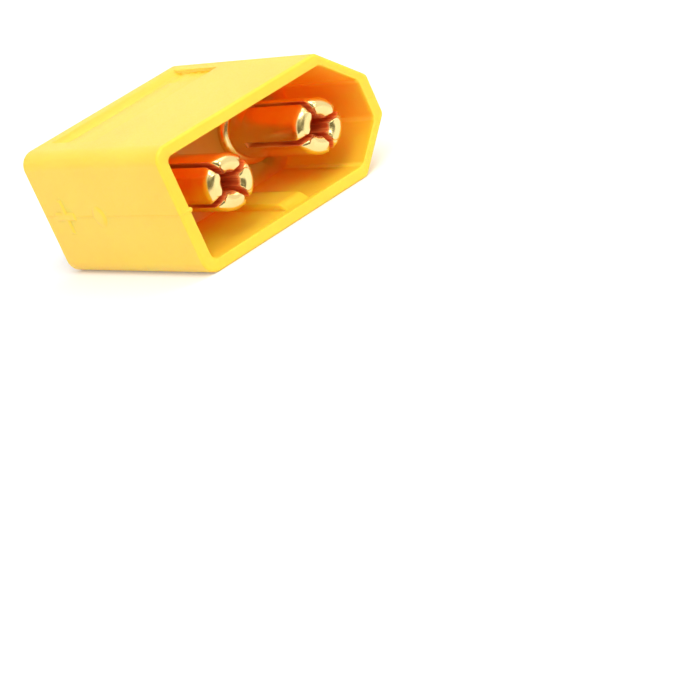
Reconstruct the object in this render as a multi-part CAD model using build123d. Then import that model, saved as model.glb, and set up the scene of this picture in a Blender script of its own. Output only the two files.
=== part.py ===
"""Two-pin power connector plug: a moulded shroud around two split gold contacts.

The plug lies on its broad face. +Z is up, the mouth of the shroud faces -Y and
the solder cups point to +Y. The flat side is at -X, the keyed side at +X.
"""
import os
from math import sqrt

from build123d import *

os.makedirs("parts", exist_ok=True)

# Housing, outside
housing_width = 15.7
housing_height = 8.3
housing_length = 16.5
key_chamfer = 2.83
flat_side_round = 1.0
key_side_round = 0.45
rear_edge_round = 0.4
mouth_edge_round = 0.2

# Housing, shroud cavity
shroud_wall = 0.77
key_wall = 0.57
cavity_depth = 8.6
cavity_flat_round = 0.4
cavity_key_round = 0.5
cavity_lip_chamfer = 0.06

# Guide rib on the lower wall of the cavity
rib_width = 1.8
rib_height = 0.45
rib_setback = 0.35
rib_ramp = 0.8
rib_nose_round = 1.2
rib_edge_round = 0.15

# Round recess in the rear face about each contact
recess_clearance = 0.85
recess_depth = 1.6
recess_edge_chamfer = 0.12

# Ribbed panel sunk into the upper face
panel_depth = 0.4
panel_rear_margin = 1.45
panel_rear_slope = 0.42
panel_flat_margin = 1.95
panel_key_margin = 0.85
ridge_pitch = 0.82
ridge_count = 6
ridge_height = 0.15
pad_first_ridge = 1
pad_ridge_span = 4
pad_flat_inset = 0.5
pad_key_inset = 1.5

# Contacts; they stand nearer to each other than half the housing's width by the draw-in
contact_draw_in = 0.65
pin_diameter = 3.5
pin_setback = 0.25
pin_nose_length = 0.65
pin_bore_diameter = 1.2
pin_bore_mouth_round = 0.5
slot_width = 0.3
slot_length = 6.2
positive_slot_angle = 45.0
negative_slot_angle = 9.0
front_lip = 0.8
root_collar_height = 0.2
barrel_diameter = 4.4
barb_height = 0.2
barb_length = 0.9
barb_rear_land = 0.35
barb_from_shoulder = 2.0
cup_bore_diameter = 3.4
cup_bore_depth = 5.0
cup_reach = 3.6
cup_ring = 0.6
cup_edge_chamfer = 0.1

# Fit of a contact in its bore, radial
contact_clearance = 0.02

total_length = housing_length + cup_reach
mouth_y = -total_length / 2
rear_y = mouth_y + housing_length
cup_end_y = mouth_y + total_length
floor_y = mouth_y + cavity_depth
shoulder_y = floor_y + front_lip
tip_y = mouth_y + pin_setback
axis_z = housing_height / 2
half_width = housing_width / 2
contact_x = (half_width - contact_draw_in) / 2
panel_flat_x = -half_width + panel_flat_margin
panel_key_x = half_width - key_chamfer - panel_key_margin
first_ridge_y = rear_y - panel_rear_margin - panel_rear_slope


def section_plane(y):
    """Plane across the plug at y, with X to the right and Z up."""
    return Plane(origin=(0, y, 0), x_dir=(1, 0, 0), z_dir=(0, -1, 0))


def keyed_outline(inset, key_inset, flat_round, key_round):
    """Outline of the plug drawn inwards, by key_inset at the chamfers, with rounded corners."""
    low = inset
    high = housing_height - inset
    flat = -half_width + inset
    key = half_width - inset
    cut = key_chamfer - 2 * inset + sqrt(2) * key_inset
    corners = [
        (flat, low),
        (key - cut, low),
        (key, low + cut),
        (key, high - cut),
        (key - cut, high),
        (flat, high),
    ]
    outline = Polygon(*corners, align=None)
    flat_corners = outline.vertices().group_by(Axis.X)[0]
    outline = fillet(flat_corners, flat_round)
    middle = (flat + key - cut) / 2
    key_corners = [v for v in outline.vertices() if v.X > middle]
    return fillet(key_corners, key_round)


def across_plug(outline, y, length):
    """Outline placed across the plug at y and carried length towards the rear."""
    return extrude(section_plane(y) * outline, amount=-length)


def housing_body():
    """Solid outer form, with soft edges at the rear and at the mouth."""
    outline = keyed_outline(0, 0, flat_side_round, key_side_round)
    body = across_plug(outline, mouth_y, housing_length)
    ends = body.faces().sort_by(Axis.Y)
    body = fillet(ends[-1].edges(), rear_edge_round)
    mouth = body.faces().sort_by(Axis.Y)[0]
    return fillet(mouth.edges(), mouth_edge_round)


def guide_rib():
    """Rib on the lower cavity wall, ramped at its front end."""
    top = shroud_wall + rib_height
    start = mouth_y + rib_setback
    side = [
        (start, shroud_wall),
        (start + rib_ramp, top),
        (floor_y, top),
        (floor_y, shroud_wall),
    ]
    profile = Polygon(*side, align=None)
    nose = profile.vertices().group_by(Axis.Y)[-1].sort_by(Axis.X)[0]
    profile = Plane.YZ * fillet(nose, rib_nose_round)
    rib = extrude(profile, amount=rib_width / 2, both=True)
    crest = [e for e in rib.edges() if e.center().Z > shroud_wall + rib_height / 4]
    long_edges = [e for e in crest if abs(e.center().X) > rib_width / 4]
    return fillet(long_edges, rib_edge_round)


def panel_cut():
    """Recess of the ribbed panel: a saw-tooth floor under the upper face."""
    brink = rear_y - panel_rear_margin
    floor = housing_height - panel_depth
    above = housing_height + panel_depth
    points = [(brink, above), (brink, housing_height)]
    for ridge in range(ridge_count):
        start = first_ridge_y - ridge * ridge_pitch
        points.append((start, floor + ridge_height))
        points.append((start - ridge_pitch, floor))
    points.append((first_ridge_y - ridge_count * ridge_pitch, above))
    profile = Plane.YZ.offset(panel_flat_x) * Polygon(*points, align=None)
    return extrude(profile, amount=panel_key_x - panel_flat_x, dir=(1, 0, 0))


def panel_pad():
    """Bare pad, level with the ridge crests, that covers the middle ridges."""
    flat = panel_flat_x + pad_flat_inset
    key = panel_key_x - pad_key_inset
    start = first_ridge_y - pad_first_ridge * ridge_pitch
    length = pad_ridge_span * ridge_pitch
    crest = housing_height - panel_depth + ridge_height
    pad = Box(key - flat, length, panel_depth, align=(Align.MIN, Align.MAX, Align.MAX))
    return Pos(flat, start, crest) * pad


def contact_profile(clearance):
    """Half section of a contact from the cavity floor back, grown by clearance."""
    collar = pin_diameter / 2 + root_collar_height + clearance
    barrel = barrel_diameter / 2 + clearance
    barb = barrel + barb_height
    barb_start = shoulder_y + barb_from_shoulder
    return [
        (collar, floor_y),
        (collar, shoulder_y),
        (barrel, shoulder_y),
        (barrel, barb_start),
        (barb, barb_start + barb_length - barb_rear_land),
        (barb, barb_start + barb_length),
        (barrel, barb_start + barb_length),
    ]


def turned(points, x):
    """Solid of revolution about the contact axis at x, from (radius, y) points."""
    profile = Polygon(*points, align=None)
    return Pos(x, 0, axis_z) * revolve(profile, axis=Axis.Y)


def contact_seat(x):
    """Stepped bore that holds a contact, widened to a chamfered recess at the rear."""
    barrel = barrel_diameter / 2 + contact_clearance
    recess = barrel_diameter / 2 + recess_clearance
    recess_floor = rear_y - recess_depth
    start = contact_profile(contact_clearance)[0]
    seat = [(0, start[1] - front_lip), (start[0], start[1] - front_lip)]
    seat += contact_profile(contact_clearance)[1:]
    seat += [
        (barrel, recess_floor),
        (recess, recess_floor),
        (recess, rear_y - recess_edge_chamfer),
        (recess + 2 * recess_edge_chamfer, rear_y + recess_edge_chamfer),
        (0, rear_y + recess_edge_chamfer),
    ]
    return turned(seat, x)


def housing():
    """One moulded piece: shroud, web, guide rib, recesses and ribbed panel."""
    cavity = keyed_outline(shroud_wall, key_wall, cavity_flat_round, cavity_key_round)
    body = housing_body() - across_plug(cavity, mouth_y, cavity_depth)
    lip = body.faces().sort_by(Axis.Y)[0]
    body = chamfer(lip.inner_wires()[0].edges(), cavity_lip_chamfer)
    body = body - panel_cut() + panel_pad() + guide_rib()
    return body - contact_seat(-contact_x) - contact_seat(contact_x)


def pin_nose():
    """Half section of the rounded pin tip with its central bore."""
    bore = pin_bore_diameter / 2
    outer = pin_diameter / 2
    crown = bore + pin_bore_mouth_round
    bore_end = tip_y + slot_length
    with BuildSketch() as section:
        with BuildLine():
            Line((bore, bore_end), (bore, tip_y + pin_bore_mouth_round))
            CenterArc(
                (crown, tip_y + pin_bore_mouth_round),
                pin_bore_mouth_round,
                start_angle=180,
                arc_size=90,
            )
            EllipticalCenterArc(
                (crown, tip_y + pin_nose_length),
                outer - crown,
                pin_nose_length,
                start_angle=270,
                arc_size=90,
            )
            Line((outer, tip_y + pin_nose_length), (outer, floor_y))
            Line((outer, floor_y), (0, floor_y))
            Line((0, floor_y), (0, bore_end))
            Line((0, bore_end), (bore, bore_end))
        make_face()
    return section.sketch


def cup_profile():
    """Half section of the solder cup, from its outer edge round to the bore's end."""
    outer = barrel_diameter / 2
    bore = cup_bore_diameter / 2
    edge_y = cup_end_y - cup_edge_chamfer
    return [
        (outer, edge_y),
        (outer - cup_edge_chamfer, cup_end_y),
        (bore + cup_edge_chamfer, cup_end_y),
        (bore, edge_y),
        (bore, cup_end_y - cup_bore_depth),
        (0, cup_end_y - cup_bore_depth),
    ]


def contact(x, opening, slot_angle):
    """Split pin with its first slot at slot_angle from +X to +Z, and its cup open to +X or -X."""
    pin = Pos(x, 0, axis_z) * revolve(pin_nose(), axis=Axis.Y)
    for angle in (slot_angle, slot_angle + 90):
        slot = Box(pin_diameter * 2, slot_length * 2, slot_width)
        pin -= Pos(x, tip_y, axis_z) * Rot(0, -angle, 0) * slot
    barrel = [(0, floor_y)] + contact_profile(0) + cup_profile()
    body = pin + turned(barrel, x)
    scoop_length = cup_reach - cup_ring
    scoop = Box(barrel_diameter, scoop_length, barrel_diameter * 2)
    scoop_x = x + opening * barrel_diameter / 2
    return body - Pos(scoop_x, cup_end_y - scoop_length / 2, axis_z) * scoop


def build():
    """Every piece of the plug by node name."""
    return {
        "housing": housing(),
        "positive_contact": contact(-contact_x, -1, positive_slot_angle),
        "negative_contact": contact(contact_x, 1, negative_slot_angle),
    }


for name, piece in build().items():
    export_step(piece, f"parts/{name}.step")
    print(name, round(piece.volume, 2), "mm3", piece.is_valid)
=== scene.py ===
"""Looks of the two-pin power connector plug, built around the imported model.

Pieces: the moulded nylon housing, two turned and slit gold contacts, the raised
polarity marks, the gate mark and the parting bead, with a plain white studio.
"""

import math

import bmesh
import bpy
from bpy.props import FloatProperty, FloatVectorProperty, IntProperty, PointerProperty
from mathutils import Matrix, Vector


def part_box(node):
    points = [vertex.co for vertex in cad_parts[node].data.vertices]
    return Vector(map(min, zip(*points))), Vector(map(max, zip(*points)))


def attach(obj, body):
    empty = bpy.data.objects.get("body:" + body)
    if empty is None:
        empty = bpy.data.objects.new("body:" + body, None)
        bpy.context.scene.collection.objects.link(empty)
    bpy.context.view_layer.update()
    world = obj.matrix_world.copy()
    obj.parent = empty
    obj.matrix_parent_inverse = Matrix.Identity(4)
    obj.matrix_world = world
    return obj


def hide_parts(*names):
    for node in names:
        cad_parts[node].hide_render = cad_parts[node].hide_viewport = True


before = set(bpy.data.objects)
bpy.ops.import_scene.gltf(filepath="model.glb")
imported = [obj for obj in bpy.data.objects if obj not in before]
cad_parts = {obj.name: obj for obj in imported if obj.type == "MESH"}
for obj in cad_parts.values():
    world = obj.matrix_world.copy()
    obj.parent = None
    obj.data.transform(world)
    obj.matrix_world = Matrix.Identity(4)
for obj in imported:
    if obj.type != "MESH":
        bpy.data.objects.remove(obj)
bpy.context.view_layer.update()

bl_info = {
    "name": "Power connector plug",
    "version": (1, 0, 0),
    "blender": (4, 5, 0),
    "location": "3D View > Sidebar > Connector",
    "description": "Builds the looks of a two-pin power connector plug",
    "category": "Object",
}

MM = 0.001
ROOT = "root"

# How far the border of a raised mark lies under the face it rises from, and its cells a side
PATCH_SINK = 0.02 * MM
PATCH_CELLS = 72

# A corner of a petal or cup is rounded by at most this share of the wall
CORNER_SHARE = 0.45

# Facets of the contacts' round parts
LATHE_SEGMENTS = 96
EDGE_STEPS = 3
COLLAR_STEPS = 6
NOSE_STEPS = 22
PETAL_CORNER_STEPS = 6
CUP_CORNER_STEPS = 5
CUP_EDGE_STEPS = 6

# How far petals and cup run into the turned body
PETAL_OVERLAP = 0.05 * MM
CUP_OVERLAP = 0.15 * MM

# First straight section of a petal, in lengths of its nose
STRAIGHT_START = 1.3

# Depth of the drilled cone at a cup's floor, in radii of its bore
CUP_CONE = 0.25

# Parting bead: facets, depth of its axis in radii, gaps to the rear face and the cavity
BEAD_SIDES = 10
BEND_STEPS = 8
BEAD_SINK = 0.45
BEAD_REAR_GAP = 0.5 * MM
BEAD_INNER_GAP = 0.05 * MM

# Bounds of the cavity's glow and painted shade, in thicknesses of the wall from the outside
INNER_START, INNER_FULL = 0.4, 0.7
THIN_END, THIN_FULL = 2.5, 1.5
LOWER_WALL_END, LOWER_WALL_CLEAR = 1.0, 3.0

# Where the lower wall begins to glow, as a share of the depth at which the painted shade is full
FAR_IN_START = 0.4

# Noise values between which each pattern goes from nothing to full
MOTTLE_RANGE = (0.35, 0.7)
GRAIN_RANGE = (0.3, 0.7)
TARNISH_RANGE = (0.42, 0.72)
STREAK_RANGE = (0.4, 0.6)
SMEAR_RANGE = (0.3, 0.75)

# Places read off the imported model
HOUSING_LOW, HOUSING_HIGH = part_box("housing")
MOUTH_Y = HOUSING_LOW.y
REAR_Y = HOUSING_HIGH.y
MIDDLE_Z = (HOUSING_LOW.z + HOUSING_HIGH.z) / 2
FLAT_X = HOUSING_LOW.x
KEY_X = HOUSING_HIGH.x

# Camera of the photograph, solved from the plug's edges and pins
CAMERA_PLACE = Vector((-88.472, -160.376, 46.542)) * MM
CAMERA_SIGHT = Vector((0.47872, 0.82425, -0.3024)).normalized()
CAMERA_UP = Vector((0.49356, 0.0322, 0.86911))
CAMERA_FOCAL_MM = 155.13
CAMERA_SENSOR_MM = 36.0
CAMERA_NEAR, CAMERA_FAR = 0.005, 20.0

# Softboxes: name, place and side in metres
SOFTBOXES = (
    ("key", (0.20, -0.12, 0.45), 0.35),
    ("front", (-0.15, -0.38, 0.42), 0.30),
    ("side", (-0.42, -0.38, 0.10), 0.35),
)
WHITE = (1.0, 1.0, 1.0)


# Mesh helpers


def new_object(name, data):
    """Object of that name at the origin, linked to the scene."""
    piece = bpy.data.objects.new(name, data)
    bpy.context.scene.collection.objects.link(piece)
    return piece


def plain_mesh(name, bm):
    """Mesh of a bmesh as it stands; the bmesh is freed."""
    mesh = bpy.data.meshes.new(name)
    bm.to_mesh(mesh)
    bm.free()
    return mesh


def mesh_from(name, bm, weld=1e-8):
    """Mesh of a bmesh, with its doubles merged and its faces pointing outwards."""
    bmesh.ops.remove_doubles(bm, verts=bm.verts, dist=weld)
    bmesh.ops.dissolve_degenerate(bm, edges=bm.edges, dist=weld)
    bmesh.ops.recalc_face_normals(bm, faces=bm.faces)
    return plain_mesh(name, bm)


def shade(mesh, angle_deg):
    """Smooth shading that stays sharp across edges steeper than the angle."""
    mesh.shade_smooth()
    mesh.set_sharp_from_angle(angle=math.radians(angle_deg))


def dress(piece, material, node=None):
    """Material and body of a finished piece, and the node it stands for."""
    piece.data.materials.clear()
    piece.data.materials.append(material)
    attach(piece, ROOT)
    if node:
        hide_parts(node)


def rounded_corners(points, radius, steps):
    """Polyline of (radius, y) points with each inner corner rounded by an arc."""
    out = [Vector(points[0])]
    for before, corner, after in zip(points, points[1:], points[2:]):
        before, corner, after = Vector(before), Vector(corner), Vector(after)
        reach = min((before - corner).length, (after - corner).length) / 2
        into, away = (before - corner).normalized(), (after - corner).normalized()
        half = into.angle(away) / 2
        cut = min(radius / math.tan(half), reach)
        centre = corner + (into + away).normalized() * (cut / math.cos(half))
        out += arc(centre, corner + into * cut, corner + away * cut, steps)
    out.append(Vector(points[-1]))
    return out


def arc(centre, start, end, steps):
    """Points on the arc about centre from start to end, the short way round."""
    first, last = start - centre, end - centre
    sweep = first.angle_signed(last)
    return [centre + Matrix.Rotation(-sweep * i / steps, 2) @ first for i in range(steps + 1)]


def skin(bm, rings):
    """Quads between neighbouring closed rings of vertices."""
    for first, second in zip(rings, rings[1:]):
        for i in range(len(first)):
            j = (i + 1) % len(first)
            bm.faces.new((first[i], first[j], second[j], second[i]))


def ring_at(bm, outline, axis_x, y):
    """Vertices of an outline that is given across and up from the line along Y at axis_x."""
    return [bm.verts.new((axis_x + across, y, MIDDLE_Z + up)) for across, up in outline]


def lathe(bm, points, axis_x, segments):
    """Surface of revolution about the line along Y at axis_x, from (radius, y) points."""
    rings = []
    angles = [2 * math.pi * step / segments for step in range(segments)]
    for radius, y in points:
        outline = [(radius * math.cos(angle), radius * math.sin(angle)) for angle in angles]
        rings.append(ring_at(bm, outline, axis_x, y))
    skin(bm, rings)


def sector_outline(inner, outer, half_angle, gap, corner, steps):
    """Outline of a ring's sector about the first axis, its sides set back, its corners round."""
    along = Vector((math.cos(half_angle), math.sin(half_angle)))
    inward = Vector((along.y, -along.x))
    corner = min(corner, (outer - inner) * CORNER_SHARE)
    side = gap + corner
    outer_centre = along * math.sqrt((outer - corner) ** 2 - side**2) + inward * side
    inner_centre = along * math.sqrt((inner + corner) ** 2 - side**2) + inward * side
    origin = Vector((0, 0))
    outer_touch = outer_centre.normalized() * outer
    inner_touch = inner_centre.normalized() * inner
    half = arc(origin, Vector((outer, 0)), outer_touch, steps * 2)
    half += arc(outer_centre, outer_touch, outer_centre - inward * corner, steps)[1:]
    half += arc(inner_centre, inner_centre - inward * corner, inner_touch, steps)
    half += arc(origin, inner_touch, Vector((inner, 0)), steps * 2)[1:]
    mirrored = [Vector((p.x, -p.y)) for p in reversed(half[1:-1])]
    return half + mirrored


def loft(bm, sections, turn, axis_x):
    """Skin through ring sectors given as (y, outline), turned about Y, capped at both ends."""
    spin = Matrix.Rotation(turn, 2)
    rings = [ring_at(bm, [spin @ p for p in outline], axis_x, y) for y, outline in sections]
    skin(bm, rings)
    count = len(rings[0])
    half = count // 2
    # A cap is two strips of quads, each from the middle of the sector out to a side
    for ring in (rings[0], rings[-1]):
        for side in (1, -1):
            for i in range((half + 1) // 2):
                across = half - i
                quad = (ring[side * i], ring[side * (i + 1)])
                quad += (ring[side * (across - 1) % count], ring[side * across % count])
                if len(set(quad)) > 2:
                    bm.faces.new(dict.fromkeys(quad))


# Node helpers


class Nodes:
    """Short words for building a node tree."""

    def __init__(self, tree):
        self.tree = tree

    def feed(self, sockets, values):
        """Link each output socket among the values to an input, and set plain values there."""
        for socket, value in zip(sockets, values):
            if isinstance(value, bpy.types.NodeSocket):
                self.tree.links.new(value, socket)
            else:
                socket.default_value = value

    def fill(self, node, inputs):
        """Feed inputs of a node that are given by name."""
        self.feed([node.inputs[name] for name in inputs], inputs.values())

    def add(self, kind, inputs=None):
        """New node of a kind, some of its inputs given by name."""
        node = self.tree.nodes.new(kind)
        self.fill(node, inputs or {})
        return node

    def math(self, operation, *operands):
        """Output of a Math node whose operands are sockets or numbers."""
        node = self.add("ShaderNodeMath")
        node.operation = operation
        self.feed(node.inputs, operands)
        return node.outputs[0]

    def map(self, value, low, high, to_low=0.0, to_high=1.0):
        """Output of a smooth Map Range node."""
        ends = {"From Min": low, "From Max": high, "To Min": to_low, "To Max": to_high}
        node = self.add("ShaderNodeMapRange", {"Value": value, **ends})
        node.interpolation_type = "SMOOTHSTEP"
        return node.outputs["Result"]

    def mix(self, factor, first, second):
        """Colour output of a Mix node; colours are sockets or tuples."""
        node = self.add("ShaderNodeMix", {"Factor": factor})
        node.data_type = "RGBA"
        colours = [socket for socket in node.inputs if socket.type == "RGBA"]
        self.feed(colours, (first, second))
        return next(socket for socket in node.outputs if socket.type == "RGBA")

    def split(self, vector):
        """X, Y and Z outputs of a vector."""
        return self.add("ShaderNodeSeparateXYZ", {"Vector": vector}).outputs

    def stretched(self, coordinates, factor):
        """Coordinates multiplied by the factor along Y."""
        scales = (1.0, factor, 1.0)
        node = self.add("ShaderNodeMapping", {"Vector": coordinates, "Scale": scales})
        return node.outputs[0]

    def noise(self, coordinates, scale, detail):
        """Value output of a Noise Texture, its scale in cycles a metre."""
        inputs = {"Vector": coordinates, "Scale": scale, "Detail": detail}
        return self.add("ShaderNodeTexNoise", inputs).outputs["Fac"]

    def bump(self, height, strength, distance):
        """Normal output of a Bump node over a height of 0 to 1."""
        inputs = {"Strength": strength, "Distance": distance, "Height": height}
        return self.add("ShaderNodeBump", inputs).outputs[0]

    def matt(self, colour):
        """Surface output of a plain diffuse shader."""
        return self.add("ShaderNodeBsdfDiffuse", {"Color": rgba(colour)}).outputs[0]

    def seen(self):
        """One where a camera, gloss or glass ray meets the surface, else none."""
        rays = self.add("ShaderNodeLightPath").outputs
        direct = self.math("MAXIMUM", rays["Is Camera Ray"], rays["Is Glossy Ray"])
        return self.math("MAXIMUM", direct, rays["Is Transmission Ray"])

    def output(self, kind, surface):
        """Link the surface to a new output node of a kind."""
        self.add(kind, {"Surface": surface})


def blank_nodes(holder):
    """Node words for the emptied tree of a material or a world."""
    holder.use_nodes = True
    holder.node_tree.nodes.clear()
    return Nodes(holder.node_tree)


def new_material(name):
    """Empty material: its node words, its Principled BSDF and its Object coordinates."""
    material = bpy.data.materials.new(name)
    nodes = blank_nodes(material)
    shader = nodes.add("ShaderNodeBsdfPrincipled")
    nodes.output("ShaderNodeOutputMaterial", shader.outputs[0])
    coordinates = nodes.add("ShaderNodeTexCoord").outputs["Object"]
    return material, nodes, shader, coordinates


def rgba(colour):
    """Colour property as the four numbers that a socket takes."""
    return (colour[0], colour[1], colour[2], 1.0)


def glow_and_painted_shade_masks(nodes, where, settings):
    """Masks of the thin walls that glow in the cavity, and of the painted shade deep in all
    hollows.
    """
    x, y, z = nodes.split(where)
    across = nodes.math("SUBTRACT", KEY_X, nodes.math("ABSOLUTE", x))
    offset = nodes.math("ABSOLUTE", nodes.math("SUBTRACT", z, MIDDLE_Z))
    up = nodes.math("SUBTRACT", HOUSING_HIGH.z - MIDDLE_Z, offset)
    keyed = nodes.math("SUBTRACT", nodes.math("SUBTRACT", KEY_X, x), settings.key_chamfer)
    slanted = nodes.math("DIVIDE", nodes.math("ADD", keyed, up), math.sqrt(2))
    inset = nodes.math("MINIMUM", nodes.math("MINIMUM", across, up), slanted)
    wall = settings.shroud_wall
    inside = nodes.map(inset, wall * INNER_START, wall * INNER_FULL)
    front = nodes.math("SUBTRACT", y, MOUTH_Y)
    rear = nodes.math("SUBTRACT", REAR_Y, y)
    edge = settings.rim_fade
    off_rim = nodes.math("MULTIPLY", nodes.map(front, 0.0, edge), nodes.map(rear, 0.0, edge))
    inside = nodes.math("MULTIPLY", inside, off_rim)
    in_cavity = nodes.map(front, settings.cavity_depth + edge, settings.cavity_depth)
    near_wall = nodes.map(inset, wall * THIN_END, wall * THIN_FULL)
    lower = HOUSING_LOW.z
    off_lower = nodes.map(z, lower + wall * LOWER_WALL_END, lower + wall * LOWER_WALL_CLEAR)
    deep = settings.painted_shade_depth
    glows = nodes.math("MAXIMUM", off_lower, nodes.map(front, deep * FAR_IN_START, deep))
    thin = nodes.math("MULTIPLY", in_cavity, near_wall)
    thin = nodes.math("MULTIPLY", nodes.math("MULTIPLY", inside, thin), glows)
    # Painted shade sets in nearer the mouth high up and towards the keyed side than on the floor
    above = nodes.math("MULTIPLY", nodes.math("SUBTRACT", z, MIDDLE_Z), settings.painted_shade_slant)
    aside = nodes.math("MULTIPLY", x, settings.painted_shade_sideways)
    reach = nodes.math("ADD", nodes.math("ADD", front, above), aside)
    depth = nodes.map(reach, -settings.painted_shade_onset, deep)
    behind = nodes.map(rear, 0.0, settings.painted_shade_from_rear)
    return thin, nodes.math("MULTIPLY", inside, nodes.math("MULTIPLY", depth, behind))


def nylon_material(settings, name="moulded_nylon", thick=True):
    """Satin moulded nylon: slight mottling, fine mould grain, light that bleeds through; shade
    painted in hollows.
    """
    found = bpy.data.materials.get(name)
    if found:
        return found
    material, nodes, shader, where = new_material(name)
    mottle = nodes.map(nodes.noise(where, settings.mottle_scale, detail=3.0), *MOTTLE_RANGE)
    outside = nodes.mix(mottle, rgba(settings.colour), rgba(settings.cloud_colour))
    thin, depth = glow_and_painted_shade_masks(nodes, where, settings)
    # Painted shade: deeper orange colour deep in the cavity and recesses
    colour = nodes.mix(depth, outside, rgba(settings.painted_shade_colour))
    if thick:
        weight = nodes.map(thin, 0.0, 1.0, settings.glow, settings.glow_inside)
        reach = nodes.map(thin, 0.0, 1.0, settings.glow_depth, settings.glow_depth_inside)
        nodes.fill(shader, {"Subsurface Weight": weight, "Subsurface Scale": reach})
        nodes.fill(shader, {"Subsurface Radius": settings.glow_colour})
    grain = nodes.noise(where, settings.grain_scale, detail=2.0)
    middle, spread = settings.roughness, settings.roughness_spread
    rough = nodes.map(grain, *GRAIN_RANGE, middle - spread, middle + spread)
    waves = nodes.noise(where, settings.wave_scale, detail=1.0)
    height = nodes.math("ADD", nodes.math("MULTIPLY", grain, settings.grain_share), waves)
    normal = nodes.bump(height, settings.grain_strength, settings.grain_depth)
    nodes.fill(shader, {"Base Color": colour, "Roughness": rough, "Normal": normal})
    nodes.fill(shader, {"IOR": settings.ior})
    return material


def mark_material(settings):
    """The same nylon for the small raised marks, too thin for light to travel in."""
    return nylon_material(settings, "moulded_nylon_marks", thick=False)


def hidden_in_pins(nodes, where, settings):
    """Masks of the slots and bores of both pins, where shade is painted, and of the depth in them.
    """
    x, y, z = nodes.split(where)
    side = nodes.math("SUBTRACT", nodes.math("ABSOLUTE", x), settings.axis_distance)
    up = nodes.math("SUBTRACT", z, MIDDLE_Z)
    is_right = nodes.math("GREATER_THAN", x, 0.0)
    side = nodes.math("MULTIPLY", side, nodes.math("SIGN", x))
    turn = nodes.map(is_right, 0.0, 1.0, settings.positive_angle, settings.negative_angle)
    cosine, sine = nodes.math("COSINE", turn), nodes.math("SINE", turn)
    along, off = turned_back(nodes, side, up, cosine, sine)
    nearest = nodes.math("MINIMUM", nodes.math("ABSOLUTE", along), nodes.math("ABSOLUTE", off))
    wall, bore = settings.slot_width / 2, settings.bore_diameter / 2
    in_slot = nodes.map(nearest, wall + settings.slot_blur, wall + settings.wall_margin)
    squares = [nodes.math("MULTIPLY", part, part) for part in (side, up)]
    radius = nodes.math("SQRT", nodes.math("ADD", *squares))
    in_bore = nodes.map(radius, bore + settings.bore_blur, bore + settings.wall_margin)
    end = MOUTH_Y + settings.slot_end
    split = nodes.map(y, end + settings.slot_end_blur, end)
    # Painted shade: slots and bores take a dark red colour
    painted_slot_shade = nodes.math("MULTIPLY", nodes.math("MAXIMUM", in_slot, in_bore), split)
    # Painted reflection of the cavity's orange, taking over deeper along the slots
    start, full = MOUTH_Y + settings.slot_fade_start, MOUTH_Y + settings.slot_fade_end
    return painted_slot_shade, nodes.map(y, start, full)


def turned_back(nodes, side, up, cosine, sine):
    """Places along the first and the second slot of a pin, from those across and up."""
    along = nodes.math("MULTIPLY", side, cosine)
    along = nodes.math("ADD", along, nodes.math("MULTIPLY", up, sine))
    off = nodes.math("MULTIPLY", up, cosine)
    return along, nodes.math("SUBTRACT", off, nodes.math("MULTIPLY", side, sine))


def gold_colour(nodes, where, painted_slot_shade, painted_slot_reflection, settings):
    """Worn gold outside; painted red shade with lighter streaks in slots and bores, and deeper in
    a painted orange reflection.
    """
    worn = nodes.noise(where, settings.tarnish_scale, detail=4.0)
    tarnish = nodes.map(worn, *TARNISH_RANGE, 0.0, settings.tarnish_share)
    outside = nodes.mix(tarnish, rgba(settings.colour), rgba(settings.tarnish_colour))
    drawn = nodes.stretched(where, settings.streak_stretch)
    streak = nodes.map(nodes.noise(drawn, settings.streak_scale, detail=1.0), *STREAK_RANGE)
    # Painted shade with lighter streaks, turning deeper in to a painted reflection of the cavity
    inner = nodes.mix(streak, rgba(settings.painted_slot_shade_colour), rgba(settings.streak_colour))
    inner = nodes.mix(painted_slot_reflection, inner, rgba(settings.painted_slot_reflection_colour))
    return nodes.mix(painted_slot_shade, outside, inner)


def gold_material(settings):
    """Polished gold plate with turning marks, duller in slots and bores, with red shade painted
    there.
    """
    material, nodes, shader, where = new_material("polished_gold")
    painted_slot_shade, painted_slot_reflection = hidden_in_pins(nodes, where, settings)
    colour = gold_colour(nodes, where, painted_slot_shade, painted_slot_reflection, settings)
    dull = nodes.map(painted_slot_reflection, 0.0, 1.0, settings.slot_dullness, 1.0)
    metal = nodes.math("SUBTRACT", 1.0, nodes.math("MULTIPLY", painted_slot_shade, dull))
    smear = nodes.noise(where, settings.smear_scale, detail=3.0)
    polished = settings.roughness
    rough = nodes.map(smear, *SMEAR_RANGE, polished, polished + settings.smear_roughness)
    unpolished = nodes.math("MULTIPLY", painted_slot_shade, settings.slot_roughness)
    rough = nodes.math("ADD", rough, unpolished)
    marks = nodes.stretched(where, settings.turning_stretch)
    height = nodes.noise(marks, settings.turning_scale, detail=2.0)
    normal = nodes.bump(height, settings.turning_strength, settings.turning_depth)
    nodes.fill(shader, {"Base Color": colour, "Metallic": metal})
    nodes.fill(shader, {"Roughness": rough, "Normal": normal})
    return material


# Geometry Nodes


def start_group(name, **inputs):
    """Node words and inputs of a new Geometry Nodes group, from its inputs' kinds."""
    tree = bpy.data.node_groups.new(name, "GeometryNodeTree")
    tree.interface.new_socket("Geometry", in_out="OUTPUT", socket_type="NodeSocketGeometry")
    for title, kind in {"Geometry": "Geometry", **inputs}.items():
        tree.interface.new_socket(title, in_out="INPUT", socket_type=f"NodeSocket{kind}")
    nodes = Nodes(tree)
    return nodes, nodes.add("NodeGroupInput").outputs


def end_group(nodes, geometry, material):
    """Group whose output is the geometry, made real and painted."""
    real = nodes.add("GeometryNodeRealizeInstances", {"Geometry": geometry}).outputs[0]
    paint = nodes.add("GeometryNodeSetMaterial", {"Geometry": real, "Material": material})
    nodes.add("NodeGroupOutput", {"Geometry": paint.outputs[0]})
    return nodes.tree


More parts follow.
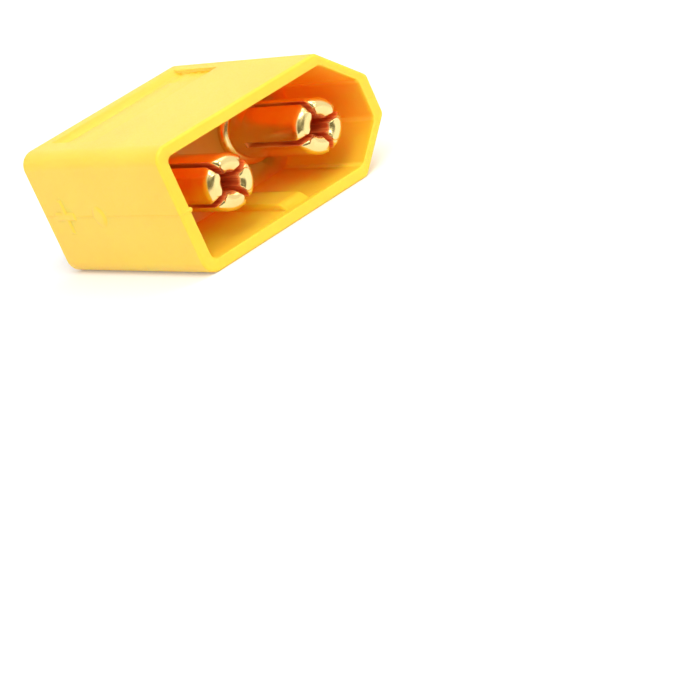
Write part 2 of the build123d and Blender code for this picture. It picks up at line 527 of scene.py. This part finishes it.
def ring_array_group(material):
    """Group that sets copies of its input evenly about an axis along Y."""
    nodes, given = start_group("Ring array", Count="Int", Centre="Vector", Start="Float")
    spots = {"Count": given["Count"], "Position": given["Centre"]}
    points = nodes.add("GeometryNodePoints", spots).outputs[0]
    index = nodes.add("GeometryNodeInputIndex").outputs[0]
    share = nodes.math("DIVIDE", index, given["Count"])
    angle = nodes.math("ADD", nodes.math("MULTIPLY", share, 2 * math.pi), given["Start"])
    turn = nodes.add("ShaderNodeCombineXYZ", {"Y": nodes.math("MULTIPLY", angle, -1.0)})
    copies = {"Points": points, "Instance": given["Geometry"], "Rotation": turn.outputs[0]}
    place = nodes.add("GeometryNodeInstanceOnPoints", copies)
    return end_group(nodes, place.outputs[0], material)


def bead_group(material):
    """Group that runs a thin round bead along its input's edges, with rounded corners."""
    nodes, given = start_group("Bead", Radius="Float", Bend="Float")
    path = nodes.add("GeometryNodeMeshToCurve", {"Mesh": given["Geometry"]}).outputs[0]
    bend = nodes.add("GeometryNodeFilletCurve")
    bend.mode = "POLY"
    nodes.fill(bend, {"Curve": path, "Count": BEND_STEPS, "Radius": given["Bend"]})
    circle = {"Resolution": BEAD_SIDES, "Radius": given["Radius"]}
    profile = nodes.add("GeometryNodeCurvePrimitiveCircle", circle).outputs[0]
    tube = {"Curve": bend.outputs[0], "Profile Curve": profile, "Fill Caps": True}
    bead = nodes.add("GeometryNodeCurveToMesh", tube)
    return end_group(nodes, bead.outputs[0], material)


def grown(source, tree, **values):
    """Plain mesh that a Geometry Nodes group makes of a mesh, given its named inputs."""
    piece = new_object(source.name, source)
    modifier = piece.modifiers.new(tree.name, "NODES")
    modifier.node_group = tree
    for socket in tree.interface.items_tree:
        if socket.name in values:
            modifier[socket.identifier] = values[socket.name]
    depsgraph = bpy.context.evaluated_depsgraph_get()
    mesh = bpy.data.meshes.new_from_object(piece.evaluated_get(depsgraph))
    piece.modifiers.remove(modifier)
    bpy.data.objects.remove(piece)
    return mesh


# Contacts


def quarter_turn(steps, first=0):
    """Angles from nothing to a right angle in equal steps, from the first step on."""
    return [math.pi / 2 * step / steps for step in range(first, steps + 1)]


def petal_section(settings, t):
    """Outline of a petal at t behind the pin's tip: it grows round out of the crown line."""
    bore = settings.bore_diameter / 2
    outer = settings.pin_diameter / 2
    crown = bore + settings.bore_round
    before_shank = 1 - min(t / settings.nose_length, 1.0)
    before_bore = 1 - min(t / settings.bore_round, 1.0)
    full = crown + (outer - crown) * math.sqrt(1 - before_shank**2)
    inner = crown - settings.bore_round * math.sqrt(1 - before_bore**2)
    gap = settings.slot_width / 2 + settings.slot_flare * before_shank**2
    soft = settings.shank_round + (settings.petal_round - settings.shank_round) * before_shank
    half_angle = math.pi / settings.petal_count
    return sector_outline(inner, full, half_angle, gap, soft, PETAL_CORNER_STEPS)


def petal_mesh(settings, tip_y):
    """One petal of the pin about the +X direction, its axis on the origin's Y line."""
    bm = bmesh.new()
    nose = settings.nose_length
    depths = [nose * (1 - math.cos(angle)) for angle in quarter_turn(NOSE_STEPS, first=1)]
    depths += [nose * STRAIGHT_START, settings.slot_length + PETAL_OVERLAP]
    sections = [(tip_y + t, petal_section(settings, t)) for t in depths]
    loft(bm, sections, 0.0, 0.0)
    for vert in bm.verts:
        vert.co.z -= MIDDLE_Z
    return mesh_from("petal", bm)


def shoulder(pin, collar, y):
    """Rounded shoulder from the pin out to the collar, as (radius, y) points."""
    height = collar - pin
    return [
        (pin + height * math.sin(angle), y + height * (1 - math.cos(angle)))
        for angle in quarter_turn(COLLAR_STEPS, first=1)
    ]


def body_profile(settings, node):
    """Half section of the contact behind its slots, as (radius, y) points."""
    low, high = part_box(node)
    pin = settings.pin_diameter / 2
    barrel = settings.barrel_diameter / 2
    bore = settings.cup_bore_diameter / 2
    floor_y = MOUTH_Y + settings.cavity_depth
    neck = pin + settings.neck_height
    collar = pin + settings.collar_height
    slot_end_y = low.y + settings.slot_length
    ring_y = REAR_Y + settings.cup_ring
    cup_floor_y = high.y - settings.cup_bore_depth
    shoulder_y = floor_y + settings.front_lip
    barb_y = shoulder_y + settings.barb_from_shoulder
    barb = settings.barb_diameter / 2
    return [
        (0.0, slot_end_y),
        (pin, slot_end_y),
        (pin, floor_y - settings.collar_stand),
        *shoulder(pin, collar, floor_y - settings.collar_stand),
        (collar, floor_y),
        (neck, floor_y),
        (neck, shoulder_y),
        (barrel, shoulder_y),
        (barrel, barb_y),
        (barb, barb_y + settings.barb_length - settings.barb_land),
        (barb, barb_y + settings.barb_length),
        (barrel, barb_y + settings.barb_length),
        (barrel, ring_y),
        (bore, ring_y),
        (bore, cup_floor_y),
        (0.0, cup_floor_y + bore * CUP_CONE),
    ]


def cup_sections(settings, node):
    """Outlines of the half-open cup behind its ring, with a rounded end."""
    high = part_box(node)[1]
    edge = settings.cup_edge_round
    outer = settings.barrel_diameter / 2
    inner = settings.cup_bore_diameter / 2
    sections = []
    start_y = REAR_Y + settings.cup_ring - CUP_OVERLAP
    stations = [(start_y, 0.0), ((start_y + high.y) / 2, 0.0)]
    for angle in quarter_turn(CUP_EDGE_STEPS):
        y = high.y - edge + edge * math.sin(angle)
        stations.append((y, edge * (1 - math.cos(angle))))
    for y, inset in stations:
        ring = (inner + inset, outer - inset)
        outline = sector_outline(*ring, math.pi / 2, inset, edge, CUP_CORNER_STEPS)
        sections.append((y, outline))
    return sections


def build_contact(settings, node, opening, slot_angle, material):
    """One gold contact: four petals, shank, barrel, ring and half-open cup."""
    low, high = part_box(node)
    axis_x = (low.x + high.x) / 2
    count = settings.petal_count
    petals = grown(
        petal_mesh(settings, low.y),
        ring_array_group(material),
        Count=count,
        Centre=(axis_x, 0.0, MIDDLE_Z),
        Start=slot_angle + math.pi / count,
    )
    bm = bmesh.new()
    bm.from_mesh(petals)
    profile = rounded_corners(body_profile(settings, node), settings.edge_round, EDGE_STEPS)
    lathe(bm, profile, axis_x, LATHE_SEGMENTS)
    turn = 0.0 if opening < 0 else math.pi
    loft(bm, cup_sections(settings, node), turn, axis_x)
    mesh = mesh_from(node.replace("_contact", "_pin"), bm)
    shade(mesh, angle_deg=40)
    dress(new_object(mesh.name, mesh), material, node)


# Housing


def build_housing(material):
    """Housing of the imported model, merged and given smooth rounds and flat faces."""
    bm = bmesh.new()
    bm.from_mesh(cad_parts["housing"].data)
    mesh = mesh_from("nylon_housing", bm, weld=2e-7)
    shade(mesh, angle_deg=28)
    piece = new_object("nylon_housing", mesh)
    weighted = piece.modifiers.new("Flat faces", "WEIGHTED_NORMAL")
    weighted.keep_sharp = True
    weighted.weight = 100
    dress(piece, material, "housing")


# Marks


def raised_patch(name, side_x, outward, centre, reach, rise):
    """Patch of a side face, of half sides reach, that swells by rise(y, z); its border is sunk."""
    bm = bmesh.new()
    rows = []
    for i in range(PATCH_CELLS + 1):
        y = reach[0] * (2 * i / PATCH_CELLS - 1)
        row = []
        for j in range(PATCH_CELLS + 1):
            z = reach[1] * (2 * j / PATCH_CELLS - 1)
            x = side_x + outward * (rise(y, z) - PATCH_SINK)
            row.append(bm.verts.new((x, centre[0] + y, centre[1] + z)))
        rows.append(row)
    for low, high in zip(rows, rows[1:]):
        for j in range(PATCH_CELLS):
            bm.faces.new((low[j], low[j + 1], high[j + 1], high[j]))
    border = rows[0][:-1] + [row[-1] for row in rows[:-1]]
    border += rows[-1][:0:-1] + [row[0] for row in rows[:0:-1]]
    bm.faces.new(border)
    mesh = mesh_from(name, bm)
    shade(mesh, angle_deg=60)
    return new_object(name, mesh)


def swell(inside, soft):
    """Share of the full height at a distance inside an outline with soft edges."""
    share = min(max(inside / soft + 0.5, 0.0), 1.0)
    return share * share * (3 - 2 * share)


def build_polarity_marks(settings, material):
    """Plus on the flat side by the positive contact, minus on the keyed side."""
    centre = (MOUTH_Y + settings.mark_from_mouth, MIDDLE_Z)
    arm, half, soft = settings.mark_length / 2, settings.mark_width / 2, settings.mark_soft

    def bar(y, z):
        return min(arm - abs(y), half - abs(z))

    def minus(y, z):
        return settings.mark_height * swell(bar(y, z), soft)

    def plus(y, z):
        return settings.mark_height * swell(max(bar(y, z), bar(z, y)), soft)

    long, short = arm + soft, half + soft
    plus_mark = raised_patch("plus_mark", FLAT_X, -1, centre, (long, long), plus)
    minus_mark = raised_patch("minus_mark", KEY_X, 1, centre, (long, short), minus)
    for mark in (plus_mark, minus_mark):
        dress(mark, material)


def build_gate_mark(settings, material):
    """Round scar of the moulding gate on the flat side: a low button with soft edges."""
    centre = (MOUTH_Y + settings.gate_from_mouth, MIDDLE_Z)
    radius, soft = settings.gate_diameter / 2, settings.gate_soft

    def button(y, z):
        return settings.gate_height * swell(radius - math.hypot(y, z), soft)

    reach = radius + soft
    patch = raised_patch("gate_mark", FLAT_X, -1, centre, (reach, reach), button)
    dress(patch, material)


def build_parting_bead(settings, material):
    """Thin bead where the mould halves met: along each side and over the mouth's rim."""
    inset = settings.bead_radius * BEAD_SINK
    inner = settings.shroud_wall - BEAD_INNER_GAP
    for name, side_x, outward in (("flat_side_bead", FLAT_X, -1), ("key_side_bead", KEY_X, 1)):
        wall_x = side_x - outward * inset
        path = [
            (wall_x, REAR_Y - BEAD_REAR_GAP),
            (wall_x, MOUTH_Y + inset),
            (side_x - outward * inner, MOUTH_Y + inset),
        ]
        bm = bmesh.new()
        verts = [bm.verts.new((x, y, MIDDLE_Z)) for x, y in path]
        for first, second in zip(verts, verts[1:]):
            bm.edges.new((first, second))
        tree = bead_group(material)
        bend = settings.mouth_round
        mesh = grown(plain_mesh(name, bm), tree, Radius=settings.bead_radius, Bend=bend)
        mesh.name = name
        shade(mesh, angle_deg=60)
        dress(new_object(name, mesh), material)


def build_mouth_flash(settings, material):
    """Speck of flash where the parting line meets the inner edge of the mouth."""
    centre = Vector((FLAT_X + settings.shroud_wall, MOUTH_Y + settings.flash_depth / 2, MIDDLE_Z))
    size = Vector((settings.flash_reach, settings.flash_depth, settings.flash_height / 2))
    bm = bmesh.new()
    matrix = Matrix.Translation(centre) @ Matrix.Diagonal((*size, 1))
    bmesh.ops.create_uvsphere(bm, u_segments=20, v_segments=12, radius=1, matrix=matrix)
    mesh = mesh_from("mouth_flash", bm)
    shade(mesh, angle_deg=80)
    dress(new_object("mouth_flash", mesh), material)


# Studio


def white_for_viewers(nodes, shaded, strength):
    """Shaded surface with a plain white added where a camera, gloss or glass ray meets it."""
    strength = nodes.math("MULTIPLY", nodes.seen(), strength)
    glow = nodes.add("ShaderNodeEmission", {"Color": rgba(WHITE), "Strength": strength})
    both = nodes.add("ShaderNodeAddShader")
    nodes.feed(both.inputs, (shaded, glow.outputs[0]))
    return both.outputs[0]


def build_floor(settings):
    """Wide white floor under the plug that keeps its shadow."""
    material = bpy.data.materials.new("studio_floor")
    nodes = blank_nodes(material)
    matt = nodes.matt((settings.floor_white,) * 3)
    lit = white_for_viewers(nodes, matt, settings.floor_lift)
    nodes.output("ShaderNodeOutputMaterial", lit)
    bm = bmesh.new()
    bmesh.ops.create_grid(bm, x_segments=1, y_segments=1, size=settings.floor_size)
    mesh = plain_mesh("studio_floor", bm)
    mesh.materials.append(material)
    new_object("studio_floor", mesh)


def build_world(settings):
    """White surround: full white where it is seen, gentler where it lights the plug."""
    world = bpy.data.worlds.new("studio_surround")
    nodes = blank_nodes(world)
    strength = nodes.map(nodes.seen(), 0.0, 1.0, settings.surround, 1.0)
    white = {"Color": rgba(WHITE), "Strength": strength}
    background = nodes.add("ShaderNodeBackground", white)
    nodes.output("ShaderNodeOutputWorld", background.outputs[0])
    bpy.context.scene.world = world


def soft_lamp(name, place, target, size, strength):
    """Square softbox that faces the target; strength is its white as seen from the plug."""
    data = bpy.data.lights.new(name, "AREA")
    data.shape = "SQUARE"
    data.size = size
    data.energy = strength * math.pi * size * size
    lamp = new_object(name, data)
    lamp.location = place
    lamp.rotation_mode = "QUATERNION"
    lamp.rotation_quaternion = (Vector(target) - Vector(place)).to_track_quat("-Z", "Y")
    lamp.visible_camera = False


def build_card(settings):
    """Dark round card behind the camera, which the polished pins reflect; no camera sees it."""
    material = bpy.data.materials.new("dark_card")
    nodes = blank_nodes(material)
    nodes.output("ShaderNodeOutputMaterial", nodes.matt(settings.card_colour))
    sight = -Vector(settings.card_direction).normalized()
    place = Vector((0, MOUTH_Y, MIDDLE_Z)) - sight * settings.card_distance
    matrix = Matrix.Translation(place) @ sight.to_track_quat("Z", "Y").to_matrix().to_4x4()
    bm = bmesh.new()
    radius = settings.card_size / 2
    bmesh.ops.create_circle(bm, cap_ends=True, segments=48, radius=radius, matrix=matrix)
    mesh = plain_mesh("dark_card", bm)
    mesh.materials.append(material)
    card = new_object("dark_card", mesh)
    card.visible_camera = False
    card.visible_diffuse = False
    card.visible_shadow = False


def build_camera():
    """Camera where the photograph was taken from."""
    sight = CAMERA_SIGHT
    right = sight.cross(CAMERA_UP).normalized()
    up = right.cross(sight)
    data = bpy.data.cameras.new("photo_camera")
    data.sensor_width = CAMERA_SENSOR_MM
    data.lens = CAMERA_FOCAL_MM
    data.clip_start = CAMERA_NEAR
    data.clip_end = CAMERA_FAR
    camera = new_object("photo_camera", data)
    turn = Matrix((right, up, -sight)).transposed().to_4x4()
    camera.matrix_world = Matrix.Translation(CAMERA_PLACE) @ turn
    bpy.context.scene.camera = camera


# Settings


def number(name, description, value, **limits):
    """Number property with limits as in bpy.props."""
    return FloatProperty(name=name, description=description, default=value, **limits)


def length(name, description, value):
    """Length property with a default given in millimetres."""
    return number(name, description, value * MM, min=0.0, unit="LENGTH", precision=5)


def colour(name, description, value):
    """Linear colour property."""
    return FloatVectorProperty(
        name=name, description=description, default=value, min=0.0, max=1.0, subtype="COLOR"
    )


def fraction(name, description, value):
    """Property that goes from nothing to all."""
    return number(name, description, value, min=0.0, max=1.0)


def amount(name, description, value):
    """Plain number that is not negative."""
    return number(name, description, value, min=0.0)


def degrees(name, description, value):
    """Angle property with a default given in degrees."""
    return number(name, description, math.radians(value), unit="ROTATION")


def distance(name, description, value):
    """Length property with a default given in metres."""
    return number(name, description, value, min=0.01, unit="LENGTH")


class NylonSettings(bpy.types.PropertyGroup):
    """Finish of the moulded nylon, with shade painted deep in its hollows."""

    colour: colour("Colour", "Colour of the moulded nylon", (1.0, 0.63, 0.04))
    cloud_colour: colour("Cloud colour", "Colour of its faint clouds", (1.0, 0.60, 0.03))
    # Painted shade: deeper orange deep in the cavity and recesses, and where it sets in
    painted_shade_colour: colour("Deep colour", "Colour deep in cavity and recesses", (1.0, 0.42, 0.03))
    painted_shade_depth: length("Deep from mouth", "Depth at which the deep colour is full", 3.5)
    painted_shade_onset: length("Deep onset", "How far before the mouth it would begin", 2.0)
    painted_shade_slant: amount("Deep slant", "Depth won per height in the cavity", 1.3)
    painted_shade_sideways: amount("Deep sideways", "Depth won per width towards the keyed side", 0.5)
    painted_shade_from_rear: length("Deep from rear", "Depth from the rear face at which it is full", 2.6)
    cavity_depth: length("Cavity depth", "Depth of the shroud's cavity", 8.6)
    key_chamfer: length("Keyed chamfer", "Width of the keyed chamfers", 2.83)
    shroud_wall: length("Shroud wall", "Wall of the shroud at the mouth", 0.77)
    roughness: fraction("Roughness", "Roughness of the satin skin", 0.42)
    roughness_spread: fraction("Roughness spread", "How much the grain changes it", 0.05)
    ior: number("IOR", "Refraction index", 1.5, min=1.0)
    glow: fraction("Glow", "Share of light that enters the nylon", 0.6)
    glow_depth: length("Glow depth", "How far red light travels in the nylon", 1.5)
    glow_inside: fraction("Glow inside", "Share of light that enters the cavity's walls", 1.0)
    glow_depth_inside: length("Glow depth inside", "How far it travels through those walls", 8.0)
    glow_colour: colour("Glow colour", "Reach of red, green and blue light", (1.0, 0.2, 0.05))
    rim_fade: length("Rim fade", "Depth over which the rim's finish turns into the cavity's", 0.5)
    mottle_scale: amount("Mottle scale", "Clouds per metre", 160.0)
    grain_scale: amount("Grain scale", "Grains of the mould skin per metre", 9000.0)
    grain_share: fraction("Grain share", "Height of the grain over that of the waves", 0.35)
    grain_strength: fraction("Grain strength", "Strength of grain and waves", 0.35)
    wave_scale: amount("Wave scale", "Waves of the mould skin per metre", 750.0)
    grain_depth: length("Grain depth", "Depth of the mould grain", 0.012)


class MarkSettings(bpy.types.PropertyGroup):
    """Raised marks and the parting bead."""

    mark_from_mouth: length("Mark place", "Distance of the marks from the mouth", 13.65)
    mark_length: length("Mark length", "Length of each stroke", 2.3)
    mark_width: length("Mark width", "Width of each stroke", 0.48)
    mark_height: length("Mark height", "Height of the strokes", 0.10)
    mark_soft: length("Mark softness", "Width over which the strokes' edges rise", 0.22)
    gate_from_mouth: length("Gate place", "Distance of the gate mark from the mouth", 9.45)
    gate_diameter: length("Gate diameter", "Diameter of the gate mark", 1.25)
    gate_height: length("Gate height", "Height of the gate mark", 0.12)
    gate_soft: length("Gate softness", "Width over which its edge rises", 0.45)
    bead_radius: length("Bead radius", "Radius of the parting bead", 0.04)
    mouth_round: length("Mouth rounding", "Bend of the bead over the mouth's edge", 0.2)
    shroud_wall: length("Shroud wall", "Wall of the shroud at the mouth", 0.77)
    flash_reach: length("Flash reach", "How far the flash sticks into the mouth", 0.16)
    flash_depth: length("Flash depth", "Depth of the flash behind the rim", 0.12)
    flash_height: length("Flash height", "Height of the flash", 0.34)


class ContactSettings(bpy.types.PropertyGroup):
    """Sizes and finish of the gold contacts, with shade painted in their slots and bores."""

    colour: colour("Colour", "Colour of the gold plate", (0.90, 0.71, 0.30))
    tarnish_colour: colour("Worn colour", "Colour where the plate is thin", (0.86, 0.60, 0.22))
    # Painted shade in slots and bores, its lighter streaks, and the painted reflection of the
    # cavity deeper in
    painted_slot_shade_colour: colour("Slot colour", "Colour inside slots and bores", (0.70, 0.11, 0.02))
    streak_colour: colour("Streak colour", "Lighter streaks in slots and bores", (1.0, 0.30, 0.07))
    painted_slot_reflection_colour: colour("Slot end colour", "Colour deep in the slots", (1.0, 0.38, 0.05))
    # Where the painted slot shade gives way to the painted reflection of the cavity
    slot_fade_start: length("Slot fade start", "Depth at which the slots grow lighter", 1.5)
    slot_fade_end: length("Slot fade end", "Depth at which they have their end colour", 4.5)
    slot_blur: length("Slot blur", "How far past a slot's wall its finish ends", 0.05)
    bore_blur: length("Bore blur", "How far past a bore's wall its finish ends", 0.12)
    slot_end_blur: length("Slot end blur", "How far past a slot's end its finish ends", 0.2)
    wall_margin: length("Wall margin", "How far past a slot's wall its finish is full", 0.01)
    slot_dullness: fraction("Slot dullness", "Share of the metal lost inside slots and bores", 0.6)
    slot_roughness: fraction("Slot roughness", "Roughness added inside slots and bores", 0.15)
    tarnish_scale: amount("Tarnish scale", "Worn spots per metre", 900.0)
    tarnish_share: fraction("Tarnish share", "Share of the worn colour in a spot", 0.5)
    # Lighter streaks in the painted slot shade, stretched along the pin
    streak_scale: amount("Streak scale", "Lighter streaks per metre", 5000.0)
    streak_stretch: amount("Streak stretch", "Their width over their length", 0.03)
    roughness: fraction("Roughness", "Roughness of the polished plate", 0.19)
    smear_scale: amount("Smear scale", "Smears on the plate per metre", 2600.0)
    smear_roughness: fraction("Smear roughness", "Roughness that a smear adds", 0.08)
    turning_scale: amount("Turning scale", "Breaks in a turning mark per metre", 700.0)
    turning_stretch: amount("Turning stretch", "Length of a turning mark over its width", 60.0)
    turning_strength: fraction("Turning strength", "Strength of the turning marks", 0.25)
    turning_depth: length("Turning depth", "Depth of the turning marks", 0.002)
    petal_count: IntProperty(name="Petals", description="Petals of each pin", default=4, min=2)
    pin_diameter: length("Pin diameter", "Diameter of the split pins", 3.5)
    nose_length: length("Nose length", "Length of the rounded nose", 0.65)
    bore_diameter: length("Bore diameter", "Diameter of the bore between the petals", 1.2)
    bore_round: length("Bore rounding", "Rounding of the bore's mouth", 0.5)
    slot_width: length("Slot width", "Width of the slots", 0.3)
    slot_length: length("Slot length", "Length of the slots from the tip", 6.2)
    slot_end: length("Slot end", "Distance of the slots' ends from the mouth", 6.45)
    slot_flare: length("Slot flare", "Widening of each slot's side at the tip", 0.05)
    petal_round: length("Petal rounding", "Rounding of the petals' edges at the tip", 0.34)
    shank_round: length("Shank rounding", "Rounding of the petals' edges along the shank", 0.05)
    positive_angle: degrees("Positive slot angle", "First slot of the positive pin, from X", 27)
    negative_angle: degrees("Negative slot angle", "First slot of the negative pin, from X", 9)
    cavity_depth: length("Cavity depth", "Depth of the shroud's cavity", 8.6)
    front_lip: length("Front lip", "Plastic in front of the contact's shoulder", 0.8)
    neck_height: length("Neck height", "Height of the neck in the web over the pin", 0.2)
    collar_height: length("Collar height", "Height of the collar at the pin's root", 0.45)
    collar_stand: length("Collar stand", "How far the collar stands out of the web", 0.5)
    barrel_diameter: length("Barrel diameter", "Outer diameter of barrel and cup", 4.4)
    barb_diameter: length("Barb diameter", "Diameter of the barb ring", 4.8)
    barb_from_shoulder: length("Barb place", "Distance of the barb from the shoulder", 2.0)
    barb_length: length("Barb length", "Length of the barb", 0.9)
    barb_land: length("Barb land", "Straight part of the barb", 0.35)
    cup_bore_diameter: length("Cup bore", "Inner diameter of the solder cup", 3.4)
    cup_bore_depth: length("Cup depth", "Depth of the cup from its end", 5.0)
    cup_ring: length("Cup ring", "Length of the closed ring past the rear face", 0.6)
    cup_edge_round: length("Cup edge rounding", "Rounding of the cup's cut edges", 0.09)
    edge_round: length("Edge rounding", "Rounding of turned edges", 0.06)
    axis_distance: length("Axis distance", "Distance of each axis from the middle", 3.6)


class StudioSettings(bpy.types.PropertyGroup):
    """Floor, surround, lamps and the dark card."""

    floor_white: fraction("Floor white", "Diffuse white of the floor", 0.85)
    floor_lift: amount("Floor lift", "White added where the floor is seen", 0.15)
    floor_size: distance("Floor size", "Half the floor's side", 3.0)
    surround: amount("Surround", "White of the surround as a light", 0.8)
    key_white: amount("Key white", "White of the softbox above the plug", 1.6)
    front_white: amount("Front white", "White of the softbox before the mouth", 6.0)
    side_white: amount("Side white", "White of the softbox to the flat side", 0.3)
    card_colour: colour("Card colour", "Colour of the dark card", (0.14, 0.13, 0.085))
    card_direction: FloatVectorProperty(
        name="Card direction",
        description="Direction from the mouth to the card",
        default=(-0.57, -0.81, 0.12),
        subtype="DIRECTION",
    )
    card_size: distance("Card size", "Diameter of the dark card", 0.60)
    card_distance: distance("Card distance", "Distance of the card from the mouth", 0.35)


# Operators


class CONNECTOR_OT_housing(bpy.types.Operator):
    """Build the nylon housing"""

    bl_idname = "connector.housing"
    bl_label = "Nylon housing"

    def execute(self, context):
        build_housing(nylon_material(context.scene.connector_nylon))
        return {"FINISHED"}


class CONNECTOR_OT_contacts(bpy.types.Operator):
    """Build the two gold contacts"""

    bl_idname = "connector.contacts"
    bl_label = "Gold contacts"

    def execute(self, context):
        settings = context.scene.connector_contacts
        material = gold_material(settings)
        build_contact(settings, "positive_contact", -1, settings.positive_angle, material)
        build_contact(settings, "negative_contact", 1, settings.negative_angle, material)
        return {"FINISHED"}


class CONNECTOR_OT_marks(bpy.types.Operator):
    """Build the polarity marks and the gate mark"""

    bl_idname = "connector.marks"
    bl_label = "Moulded marks"

    def execute(self, context):
        material = mark_material(context.scene.connector_nylon)
        build_polarity_marks(context.scene.connector_marks, material)
        build_gate_mark(context.scene.connector_marks, material)
        return {"FINISHED"}


class CONNECTOR_OT_bead(bpy.types.Operator):
    """Build the parting bead on both sides"""

    bl_idname = "connector.bead"
    bl_label = "Parting bead"

    def execute(self, context):
        material = mark_material(context.scene.connector_nylon)
        build_parting_bead(context.scene.connector_marks, material)
        build_mouth_flash(context.scene.connector_marks, material)
        return {"FINISHED"}


class CONNECTOR_OT_studio(bpy.types.Operator):
    """Set up floor, surround, lamps and camera"""

    bl_idname = "connector.studio"
    bl_label = "Studio"

    def execute(self, context):
        settings = context.scene.connector_studio
        build_floor(settings)
        build_world(settings)
        middle = (HOUSING_LOW + HOUSING_HIGH) / 2
        for name, place, size in SOFTBOXES:
            strength = getattr(settings, f"{name}_white")
            soft_lamp(f"{name}_softbox", place, middle, size, strength)
        build_card(settings)
        build_camera()
        context.scene.view_settings.view_transform = "Standard"
        return {"FINISHED"}


class CONNECTOR_PT_panel(bpy.types.Panel):
    """Panel with a button for each group of pieces"""

    bl_idname = "CONNECTOR_PT_panel"
    bl_label = "Power connector plug"
    bl_space_type = "VIEW_3D"
    bl_region_type = "UI"
    bl_category = "Connector"

    def draw(self, context):
        for operator in OPERATORS:
            self.layout.operator(operator.bl_idname)


SETTINGS = {
    "connector_nylon": NylonSettings,
    "connector_marks": MarkSettings,
    "connector_contacts": ContactSettings,
    "connector_studio": StudioSettings,
}
OPERATORS = (
    CONNECTOR_OT_housing,
    CONNECTOR_OT_contacts,
    CONNECTOR_OT_marks,
    CONNECTOR_OT_bead,
    CONNECTOR_OT_studio,
)


def register():
    """Register the settings, operators and panel."""
    for name, group in SETTINGS.items():
        bpy.utils.register_class(group)
        setattr(bpy.types.Scene, name, PointerProperty(type=group))
    for operator in OPERATORS:
        bpy.utils.register_class(operator)
    bpy.utils.register_class(CONNECTOR_PT_panel)


def unregister():
    """Remove what register added."""
    bpy.utils.unregister_class(CONNECTOR_PT_panel)
    for operator in reversed(OPERATORS):
        bpy.utils.unregister_class(operator)
    for name, group in SETTINGS.items():
        delattr(bpy.types.Scene, name)
        bpy.utils.unregister_class(group)


def main():
    """Build every piece and the studio."""
    register()
    for operator in OPERATORS:
        group, action = operator.bl_idname.split(".")
        getattr(getattr(bpy.ops, group), action)()


if __name__ == "__main__":
    main()
